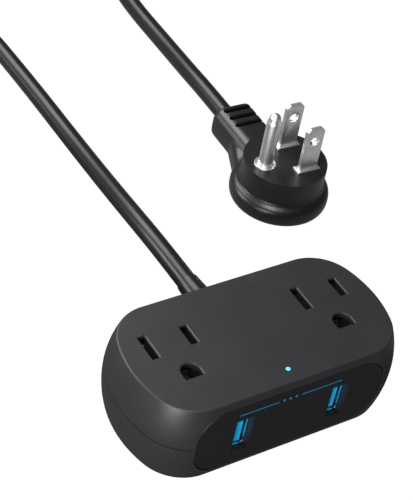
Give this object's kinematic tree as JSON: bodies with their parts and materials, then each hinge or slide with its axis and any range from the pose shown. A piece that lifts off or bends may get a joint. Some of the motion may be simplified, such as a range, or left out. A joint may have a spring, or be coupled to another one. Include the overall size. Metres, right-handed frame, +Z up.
{
  "type": "power strip",
  "caption": "Compact power strip: flat-topped rounded casing with grounded mains outlets, front USB charging ports, and a cord with a flat right-angle plug.",
  "frame": {"origin": "middle of the casing's flat underside", "axes": "+X along the casing, +Y to the back, where the cord leaves, +Z up, out of the outlet face"},
  "size_m": [0.1275, 0.3194, 0.0362],
  "materials": {
    "casing_plastic": "fine spark-eroded matt, near black",
    "panel_plastic": "finer satin, near black",
    "cord_jacket": "satin PVC jacket",
    "plug_vinyl": "satin moulded PVC",
    "plug_insert": "hard insert",
    "nickel_brass": "nickel plated, lightly brushed",
    "contact_brass": "bare brass strip",
    "zinc_steel": "zinc plated steel",
    "usb_steel": "tin plated steel sheet",
    "usb_blue": "bright blue insulator",
    "carrier_plastic": "black heat resistant insulator",
    "card_insulator": "insulating card",
    "board_green": "solder mask over glass laminate",
    "ferrite": "ground ferrite",
    "winding_tape": "yellow winding tape",
    "capacitor_sleeve": "shrink sleeve",
    "component_epoxy": "moulded epoxy",
    "fuse_body": "brown fuse body",
    "lamp_lens": "clear light guide, lit blue",
    "lead_black": "black PVC lead",
    "lead_white": "white PVC lead",
    "lead_green": "green PVC lead",
    "tie_strap": "hook and loop strap"
  },
  "bodies": {
    "root": {"board_fuse": "fuse_body", "board_leads": "lead_white", "bottom_cover": "casing_plastic", "bridge_rectifier": "component_epoxy", "bus_insulator": "card_insulator", "case_screws": "zinc_steel", "charger_board": "board_green", "controller_chip": "component_epoxy", "cord_clamp": "carrier_plastic", "cord_clamp_screws": "zinc_steel", "cord_coil": "cord_jacket", "cord_plug_run": "cord_jacket", "cord_strain_relief": "cord_jacket", "cord_strip_run": "cord_jacket", "cord_tie": "tie_strap", "ground_bus": "contact_brass", "ground_contact_left": "contact_brass", "ground_contact_right": "contact_brass", "ground_lead": "lead_green", "hot_bus": "contact_brass", "hot_contact_left": "contact_brass", "hot_contact_right": "contact_brass", "hot_lead": "lead_black", "indicator_lamp": "lamp_lens", "indicator_lens": "lamp_lens", "input_capacitor_left": "capacitor_sleeve", "input_capacitor_right": "capacitor_sleeve", "neutral_bus": "contact_brass", "neutral_contact_left": "contact_brass", "neutral_contact_right": "contact_brass", "neutral_lead": "lead_white", "outlet_carrier_left": "carrier_plastic", "outlet_carrier_right": "carrier_plastic", "output_capacitor": "capacitor_sleeve", "plug_body": "plug_vinyl", "plug_bridge": "plug_insert", "plug_crimps": "contact_brass", "plug_ground_pin": "nickel_brass", "plug_hot_blade": "nickel_brass", "plug_neutral_blade": "nickel_brass", "plug_prong_collars": "nickel_brass", "plug_wires": "lead_green", "power_inductor": "ferrite", "top_cover": "casing_plastic", "transformer_core": "ferrite", "transformer_winding": "winding_tape", "usb_front_panel": "panel_plastic", "usb_pins_left": "contact_brass", "usb_pins_right": "contact_brass", "usb_shell_left": "usb_steel", "usb_shell_right": "usb_steel", "usb_tongue_left": "usb_blue", "usb_tongue_right": "usb_blue"}
  },
  "joints": []
}
